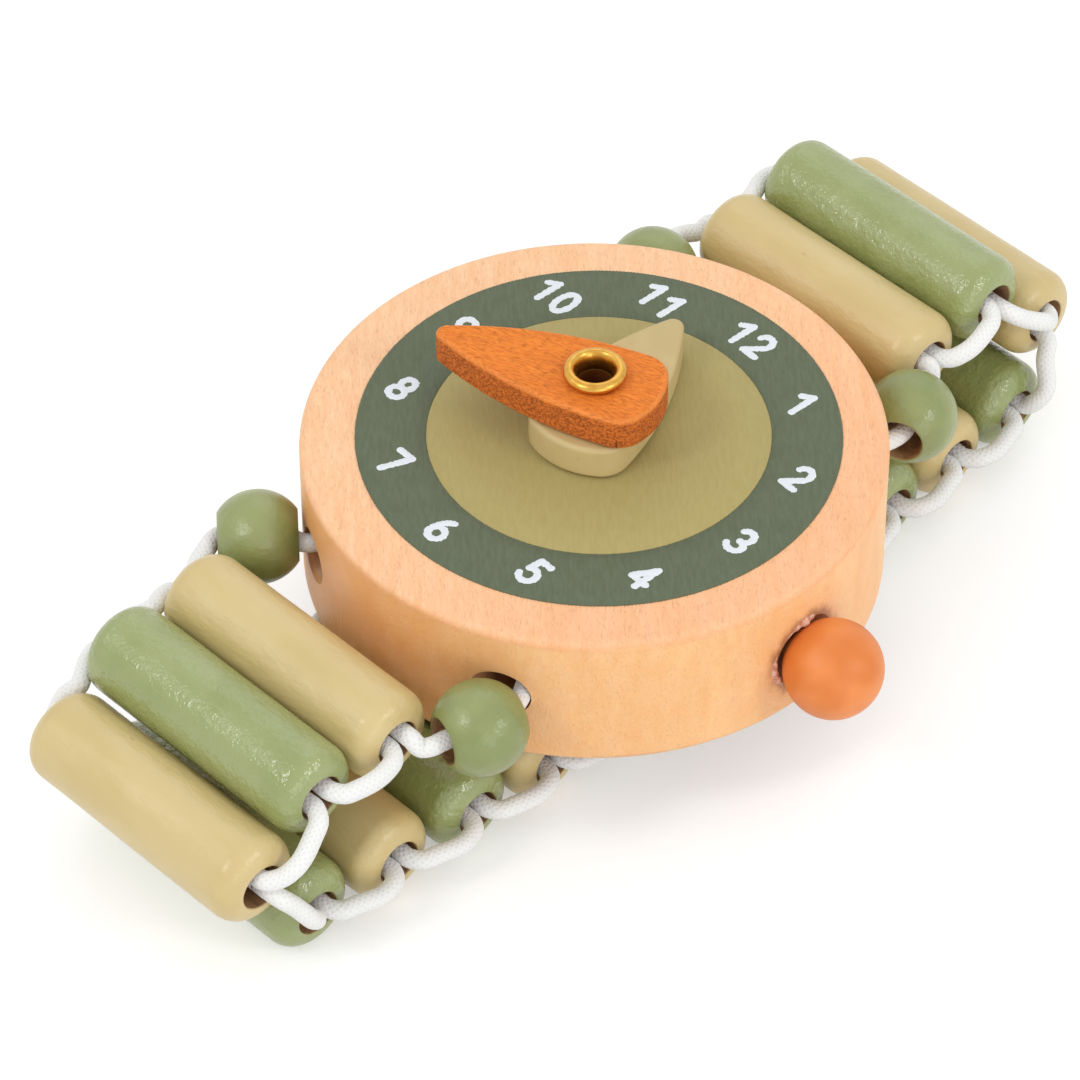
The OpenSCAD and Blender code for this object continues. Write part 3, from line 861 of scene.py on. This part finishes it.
# marks the bore's wall for its painted shade
bore_shade_marks = np.append([1.0, 1.0], np.zeros(len(profile) - 2))
piece("eyelet_ring", [lathe(profile, (0, 0, 0), (0, 0, 1), 128, bore_shade_marks)], brass, "case",
      ("hand_eyelet",))
dress("back_washer", brass)

# %% [markdown]
# The crown is a painted ball glued on a peg. Its bore is blind, so the profile starts at a pole
# on the bore's floor, comes out of the mouth, follows the ball and ends at the far pole.

# %% Crown
peg_low, peg_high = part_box("crown_peg")
peg_r = (peg_high.z - peg_low.z) / 2 / MM
peg_end = peg_high.x / MM - crown_middle[0]
mouth = math.degrees(math.asin(peg_r / crown_r))
ball = arc((0, 0), crown_r, 180 - mouth, 0, 60)
profile = np.concatenate([[[peg_end, 0], [peg_end, peg_r]], ball])
profile[-1, 1] = 0
marks = np.array([1.0, 1.0] + [0.0] * len(ball))
made = lathe(profile, crown_middle, (1, 0, 0), 96, marks, closed=False, wobble=0.012, seed=4)
piece("crown_ball_paint", [made], orange_paint, "case", ("crown_ball",))
peg_wood = painted("peg_wood", BARE_WOOD, BARE_WOOD, 0.02, 0.6, 0.3, 0.7)
dress("crown_peg", peg_wood)

# %% [markdown]
# Where the ball meets the case, some glue has oozed out and dried in crumbs. It could be
# sculpted, but a thin ring is enough: its thickness swells at two places and wavers in
# between, and each of its points is laid against the case's round side.

# %% Glue at the crown
SEAT_R = 2.93
GLUE_R = 0.3
GLUE_PLACES = ((97, 20), (193, 22))
GLUE_LEAST = 0.12
GLUE_SUNK = 0.05
glue_turn = np.linspace(0, 2 * np.pi, 120, endpoint=False)
lump = GLUE_LEAST + sum(np.exp(-(((np.degrees(glue_turn) - a) / w) ** 2)) for a, w in GLUE_PLACES)
lump *= 1 + 0.25 * np.sin(9 * glue_turn) + 0.2 * np.sin(23 * glue_turn + 1)
around = np.linspace(0, 2 * np.pi, 16, endpoint=False)
glue_r = GLUE_R * lump[:, None]
ring_r = SEAT_R + glue_r * np.cos(around)
glue_y = ring_r * np.cos(glue_turn)[:, None]
glue_z = crown_middle[2] + ring_r * np.sin(glue_turn)[:, None]
glue_x = np.sqrt(CASE_R**2 - glue_y**2) - GLUE_SUNK + glue_r * np.sin(around)
glue_points = np.stack([glue_x, glue_y, glue_z], axis=2)
glue, tree, shader = new_material("dried_glue")
grit = noise(coordinates(tree), 3.0, 3.0)
connect(shader, {
    "Base Color": blend(ramp(grit, 0.4, 0.62), screen(232, 186, 164), screen(196, 128, 96)),
    "Normal": bump(grit, 0.08), "Roughness": 0.55,
})
piece("crown_glue", [shell(glue_points, closed_rows=True)], glue, "case")

# %% [markdown]
# The strap is seventeen wooden rods with rounded ends, drilled along their length. Each is a
# ring-shaped shell: out along the bore's wall, over a small lip where the paint stops, round
# the rim, back along the outside and in again. The frame says where each one lies.

# %% Strap beads
SIDE_BEADS = {6: 9, 12: 8}
BEAD_RIM_R = 1.6
BEAD_BORE_R = 1.7
BEAD_LIP_R = 0.12
BORE_START = 0.5
PAINT_INSET = 0.02
SIGN = {6: -1, 12: 1}


def bead_profile(length, radius):
    """(along, radius) once round the wall of a drilled rod, and how bare each point is: the
    barrel, a quarter circle for the rim, a small one for the lip, the bore, and both again."""
    half = length / 2
    rim = arc((half - BEAD_RIM_R, radius - BEAD_RIM_R), BEAD_RIM_R, 90, 4, 22)
    turn = np.radians(np.linspace(0, 90, 10))
    lip = [half, BEAD_BORE_R] - BEAD_LIP_R * np.stack([1 - np.cos(turn), np.sin(turn) - 1], axis=1)
    right = np.concatenate([rim, lip])
    flat = np.linspace(BEAD_RIM_R - half, half - BEAD_RIM_R, 34)[1:-1]
    barrel = [[x, radius] for x in flat]
    bore = [[x, BEAD_BORE_R] for x in np.linspace(half - BORE_START, BORE_START - half, 12)]
    profile = np.concatenate([barrel, right, bore, right[::-1] * [-1, 1]])
    bare_end = np.concatenate([np.zeros(len(rim)), np.linspace(0, 1, len(lip))])
    bare = np.concatenate([np.zeros(len(barrel)), bare_end, np.ones(len(bore)), bare_end[::-1]])
    return profile, bare


def node_middle(name):
    """The middle of a node's box, in millimetres, and its size."""
    low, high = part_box(name)
    return np.array((low + high) / 2) / MM, np.array(high - low) / MM


for side, count in SIDE_BEADS.items():
    for i in range(count):
        name = f"strap_bead_{side}_{i + 1}"
        middle, size = node_middle(name)
        profile, bare = bead_profile(size[0], size[1] / 2 - PAINT_INSET)
        made = lathe(profile, middle, (1, 0, 0), 72, bare, wobble=0.008, seed=side * 20 + i)
        paint, slot = (green_paint, "green_paint") if i % 2 else (khaki_paint, "khaki_paint")
        body = name if i == 0 else name.replace("bead", "link")
        piece(name + "_wood", [made], paint, body, (name,))

# %% [markdown]
# Four round beads sit where the cords leave the case. All turn one profile, the ball from lip
# to lip and then the bore, and each bore points the way that its cord takes round the corner.

# %% Round beads
ROUND_R = 3.43
ROUND_TURNS = {(6, "left"): 41, (6, "right"): 17, (12, "left"): 43, (12, "right"): 25}
ROUND_LIP_R = 0.15
ROUND_BORE_START = 0.12
LIP_STEP = (0.02, 0.06)

mouth = math.degrees(math.asin((BEAD_BORE_R + ROUND_LIP_R) / ROUND_R))
ball = arc((0, 0), ROUND_R, 180 - mouth, mouth, 60)
reach = ball[-1, 0]
lip = np.array([[reach - LIP_STEP[0], BEAD_BORE_R + LIP_STEP[1]]])
bore_end = reach - ROUND_BORE_START
bore = [[x, BEAD_BORE_R] for x in np.linspace(bore_end, -bore_end, 8)]
profile = np.concatenate([ball, lip, bore, lip * [-1, 1]])
bare = np.concatenate([np.zeros(len(ball)), [0.5], np.ones(len(bore)), [0.5]])
for (side, end), degrees in ROUND_TURNS.items():
    name = f"round_bead_{side}_{end}"
    middle, _ = node_middle(name)
    t = math.radians(degrees)
    way = (-math.sin(t), SIGN[side] * math.cos(t), 0)
    made = lathe(profile, middle, way, 80, bare, wobble=0.012, seed=side + len(end))
    piece(name + "_wood", [made], round_paint, name, (name,))

# %% [markdown]
# The cord is round white elastic in a braided sleeve. From each side, two strands pass through
# every bead, one each way, so that neighbouring beads are laced together by loops at both
# ends. The route repeats the CAD model's own points: out of a bead's mouth, along to the next
# bead, in at its mouth and round the other strand inside the bore. The drawn cord is a little
# thinner than the CAD's, so that neighbours keep clear of each other when the strap opens.

# %% Cord route values
CORD_R = 0.725
BRAID_R = 0.7
STRAND_R = 0.8
MEET_DEPTH = 1
MEET_GAP = 0.05
MOUTH_OUT = 0.1
MOUTH_RUN = 0.5
JOIN_OUT = 0.2
STRAIGHT_DEPTH = 2
TWIST_STEPS = 7
LOOP_ROUTES = {
    -1: [(-1, 0.8), (0, 0.8), (0.72, 1.25), (0.8, 2.1), (0.42, 3.1)],
    1: [(-1, 0.8), (0.1, 0.8), (0.9, 1.3), (1.3, 2.4)],
}
HOLE_ROUTE = [8, 15.6]
CORNER_ROUTES = {
    (6, "left"): [(-15.3, 23.6), (-14.75, 24.9), (-14.05, 25.9)],
    (6, "right"): [(9.95, 25.5), (9.5, 26.2)],
    (12, "left"): [(-15.6, 23.55), (-15.2, 24.8), (-14.6, 25.8)],
    (12, "right"): [(8.95, 25.5), (8.7, 26.15)],
}
WORN_HEADINGS = [-72, -80, -97, -119, -140, -156, -167, -177]
CORD_HOLE_X = 9.5
CORD_HOLE_R = 2
ROUND_BEAD_R = 3.45


def bead_place(side, i):
    """Bead i of a side: its X, and its place (outward, up) across the beads. One past the last
    of a side is the other side's last bead."""
    here = (side, i + 1) if i < SIDE_BEADS[side] else (18 - side, 17 - i)
    middle, size = node_middle("strap_bead_{}_{}".format(*here))
    return middle[0], np.array([SIGN[side] * middle[1], middle[2]]), size[0]


def flat_heading(side, i):
    """The heading of the link that ends at bead i, in degrees, as the strap lies here."""
    if i == 0:
        return 0.0
    run = bead_place(side, i)[1] - bead_place(side, i - 1)[1]
    angle = heading(run)
    return angle - 360 if angle > 90 else angle


def worn_heading(i):
    """The same with the strap open round a wrist."""
    return 0 if i == 0 else WORN_HEADINGS[i - 1] if i <= 8 else -360 - WORN_HEADINGS[7]


def next_turn(side, i):
    """How far the link after bead i is folded against the one before it, in degrees."""
    return flat_heading(side, i + 1) - flat_heading(side, i)


def entry_turn(side, i):
    """Where a strand enters bead i: opposite the middle of the next link's swing."""
    swing = worn_heading(i + 1) - worn_heading(i) - next_turn(side, i)
    return 180 + next_turn(side, i) + swing / 2


def turned(vector, degrees):
    """A flat vector turned by some degrees."""
    return spun(vector, math.radians(degrees))


def placed(side, x, across):
    """A point of the frame from an X and a place (outward, up) on a side."""
    return [x, SIGN[side] * across[0], across[1]]


print("swing of the first joint, 6 o'clock side:", round(worn_heading(1) - flat_heading(6, 1), 2))

# %% [markdown]
# A route is a short list of points: through a bead, over the gap to the next one, or out of the
# case and round the corner. A smooth curve runs through the points, and a ring is carried along
# it. A curve object with a round bevel would look much the same, but it gives no even measure
# along and round the cord, which the braid needs.

# %% Cord routes
def strand(side, i, m):
    """Through bead i from the mouth on side m, turning round the other strand."""
    x, across, length = bead_place(side, i)
    start = entry_turn(side, i)
    sweep = next_turn(side, i) - start + (0 if m > 0 else 360)
    k = np.arange(TWIST_STEPS + 1) / TWIST_STEPS
    depths = [-MOUTH_OUT, MEET_DEPTH, *(STRAIGHT_DEPTH + (length - 2 * STRAIGHT_DEPTH) * k),
              length - MEET_DEPTH - MEET_GAP]
    turns = [start, start, *(start + sweep * k), start + sweep]
    lie = flat_heading(side, i)
    return [placed(side, x + m * (length / 2 - depth), across + turned((STRAND_R, 0), t + lie))
            for depth, t in zip(depths, turns)]


def loop(side, i, m, rise):
    """From the mouth of bead i - 1 to just before the mouth of bead i."""
    lie = flat_heading(side, i)
    x0, start, length = bead_place(side, i - 1)
    x1, end, _ = bead_place(side, i)
    pitch = np.linalg.norm(end - start)
    route = LOOP_ROUTES[m]
    out = [placed(side, x0 + m * (length / 2 + a), start + turned((b, 0), lie)) for a, b in route]
    back = [placed(side, x1 + m * (length / 2 + a), start + turned((pitch - b, rise), lie))
            for a, b in route[:1:-1]]
    return out + back


def case_route(side, end):
    """From inside the case, through the round bead and round the corner of the strap."""
    m = -1 if end == "left" else 1
    middle, _ = node_middle(f"round_bead_{side}_{end}")
    t = math.radians(ROUND_TURNS[side, end])
    way = np.array([-math.sin(t), math.cos(t)])
    c = np.array([middle[0], SIGN[side] * middle[1]])
    edge_x = CORD_HOLE_X + CORD_HOLE_R
    edge = np.array([m * edge_x, math.sqrt(CASE_R**2 - edge_x**2)])
    mouth = c - way * math.sqrt(ROUND_BEAD_R**2 - BEAD_BORE_R**2)
    rim = mouth - m * BEAD_BORE_R * np.array([way[1], -way[0]])
    route = [(m * CORD_HOLE_X, y) for y in HOLE_ROUTE]
    route += [(edge + rim) / 2, c - way * ROUND_BEAD_R / 2, c]
    route += [c + way * (ROUND_BEAD_R - CORD_R / 2), *CORNER_ROUTES[side, end]]
    inside = strand(side, 0, m)
    run_in = [inside[0][0] + m * MOUTH_RUN, *inside[0][1:]]
    return [placed(side, p[0], (p[1], middle[2])) for p in route] + [run_in] + inside


def smooth(route, step=0.2):
    """A curve through all points of a route: a cubic whose slope at each point is that of the
    line between its neighbours, with a point every `step` millimetres."""
    route = np.array(route, float)
    length = spaced(route)
    slope = np.gradient(route, length, axis=0)
    spot = np.linspace(0, length[-1], int(length[-1] / step) + 1)
    k = np.clip(np.searchsorted(length, spot, side="right") - 1, 0, len(route) - 2)
    span = (length[k + 1] - length[k])[:, None]
    t = ((spot - length[k]) / span[:, 0])[:, None]
    return (
        (2 * t**3 - 3 * t**2 + 1) * route[k] + (t**3 - 2 * t**2 + t) * span * slope[k]
        + (3 * t**2 - 2 * t**3) * route[k + 1] + (t**3 - t**2) * span * slope[k + 1]
    )


def cord_tube(route, sides=20):
    """A round tube along a route: each ring stands square to the run, and its first point is
    carried on from the ring before, so that the braid doesn't spin."""
    path = smooth(route)
    way = unit(np.gradient(path, axis=0))
    side = np.cross(way[0], [0.31, 0.17, 0.93])
    across = np.empty_like(path)
    for n, w in enumerate(way):
        side = unit(side - w * (side @ w))
        across[n] = side
    up = np.cross(way, across)
    turn = np.linspace(0, 2 * np.pi, sides, endpoint=False)
    rings = circle(turn) @ np.stack([across, up], axis=1)
    return capped(path[:, None] + BRAID_R * rings)


print("loop points:", len(loop(6, 2, 1, 0.0)), " strand points:", len(strand(6, 2, 1)))

# %% [markdown]
# The braid is drawn from the cord's own UV map: how far along it a point is, and how far round.
# Two sets of helices, one each way, give the yarns; where one crosses over the other it stands
# higher. The same pattern paints a little shade into the gaps between yarns.

# %% Braid and cord
braid_group, braid_in, braid_out = new_group(
    "braid",
    [("UV", VECTOR, None), ("Yarns", FLOAT, 6.0), ("Pitch", FLOAT, 1.3)],
    [("Height", FLOAT), ("Gap", FLOAT)],
)
along, across, _ = parts_of(braid_in["UV"])
along_share = maths("DIVIDE", along, braid_in["Pitch"])
round_share = times(across, braid_in["Yarns"])
waves = []
for operation in ("ADD", "SUBTRACT"):
    phase = maths(operation, along_share, round_share)
    wave = maths("SINE", times(phase, math.pi))
    waves.append(maths("ABSOLUTE", wave))
height = maths("MAXIMUM", *waves)
# painted shade: the gaps between yarns
connect(braid_out, {"Height": height, "Gap": ramp(height, 0.75, 0.35)})

cord_material, tree, shader = new_material("elastic_cord")
surface = place(tree, "UVMap", uv_map="surface").outputs[0]
inputs = {"UV": surface, "Yarns": 8.0, "Pitch": 0.45}
weave = place(tree, "Group", inputs, node_tree=braid_group).outputs
fuzz = noise(coordinates(tree), 5.0)
height = maths("ADD", weave["Height"], times(fuzz, 0.4))
connect(shader, {
    # painted shade in the gaps between yarns
    "Base Color": blend(times(weave["Gap"], 0.12), CORD, screen(160, 158, 160)),
    "Normal": bump(height, 0.04), "Roughness": 0.85, "Sheen Weight": 0.25,
})


def cord(name, routes, body):
    """Cord along some routes, in the place of the frame's plain tubes."""
    tubes = [cord_tube(route) for route in routes]
    piece(name + "_braid", tubes, cord_material, body, (name,))


for side, count in SIDE_BEADS.items():
    for i in range(1, count):
        rise = math.sin(math.radians(entry_turn(side, i))) * STRAND_R / 2
        routes = [loop(side, i, m, rise) + strand(side, i, m) for m in (-1, 1)]
        cord(f"strap_cord_{side}_{i + 1}", routes, f"strap_link_{side}_{i + 1}")

x_last, last_bead, last_length = bead_place(6, 9)
routes = []
for m in (-1, 1):
    end = placed(6, x_last + m * (last_length / 2 + JOIN_OUT), last_bead + [STRAND_R, 0])
    routes.append(loop(6, 9, m, 0.0) + [end])
cord("strap_cord_join", routes, "strap_join")
for end in ("left", "right"):
    cord(f"case_cord_{end}", [case_route(6, end)[::-1] + case_route(12, end)], "case")
dress("cord_knots", cord_material)

# %% [markdown]
# The watch lies on white paper in a plain pale room, under five soft lamps. Lamps and world
# together light a flat top face to about the colour that its material says. The floor adds a
# little white of its own for the camera, and for metal that mirrors it, so that it reads as
# white where it is lit and keeps the watch's shadow.

# %% Floor and world
def looked_at(tree):
    """1 for the rays that show the background: to the camera, or by way of metal or glass."""
    rays = place(tree, "LightPath").outputs
    mirrored = maths("MAXIMUM", rays["Is Glossy Ray"], rays["Is Transmission Ray"])
    return maths("MAXIMUM", rays["Is Camera Ray"], mirrored)


FLOOR_SIZE = 3.0
PAPER_BASE = (0.8, 0.8, 0.8, 1)
PAPER_GLOW = 0.36
ROOM_LIGHT = 0.80
WHITE = (1, 1, 1, 1)
floor_mesh = bpy.data.meshes.new("paper_floor")
half = FLOOR_SIZE / 2
corners = [(-half, -half, 0), (half, -half, 0), (half, half, 0), (-half, half, 0)]
floor_mesh.from_pydata(corners, [], [(0, 1, 2, 3)])
floor = stand("paper_floor", floor_mesh)
floor.location = (0, 0, cad_low.z)
paper, tree, shader = new_material("paper")
connect(shader, {
    "Base Color": PAPER_BASE, "Roughness": 0.9, "Specular IOR Level": 0.1,
    "Emission Color": WHITE, "Emission Strength": times(looked_at(tree), PAPER_GLOW),
})
floor_mesh.materials.append(paper)

world = bpy.data.worlds.new("room")
bpy.context.scene.world = world
world.use_nodes = True
tree = world.node_tree
glow = maths("ADD", ROOM_LIGHT, times(looked_at(tree), 1 - ROOM_LIGHT))
connect(tree.nodes["Background"], {"Color": WHITE, "Strength": glow})
print("floor at", round(cad_low.z / MM, 2), "mm")

# %% [markdown]
# Big soft boxes round the table give broad, quiet highlights. Each lamp is a square that faces
# the watch. Its strength is given as the share of a surface's colour that it adds, so a lamp
# can be moved or made larger and the watch stays as bright.

# %% Lamps
def soft_lamp(name, azimuth, height, distance, size, light):
    """A square lamp aimed at the watch: `light` is the share of a surface's own colour that
    it adds where the surface faces it."""
    toward = direction(azimuth, height)
    data = bpy.data.lights.new(name, "AREA")
    data.shape = "SQUARE"
    data.size = size
    data.energy = light * math.pi**2 * distance**2
    lamp = stand(name, data)
    lamp.location = toward * distance
    lamp.rotation_mode = "QUATERNION"
    lamp.rotation_quaternion = toward.to_track_quat("Z", "Y")
    print(name, "lamp", size, "m wide")


soft_lamp("front", -13, 47, 0.6, 0.12, 0.15)
soft_lamp("left", -46, 45, 0.6, 0.16, 0.035)
soft_lamp("right", 103, 32, 0.6, 0.13, 0.15)
soft_lamp("low", 68, 9, 0.8, 0.4, 0.14)
soft_lamp("back", 218, 46, 0.8, 0.5, 0.07)
bpy.context.scene.view_settings.view_transform = "Standard"
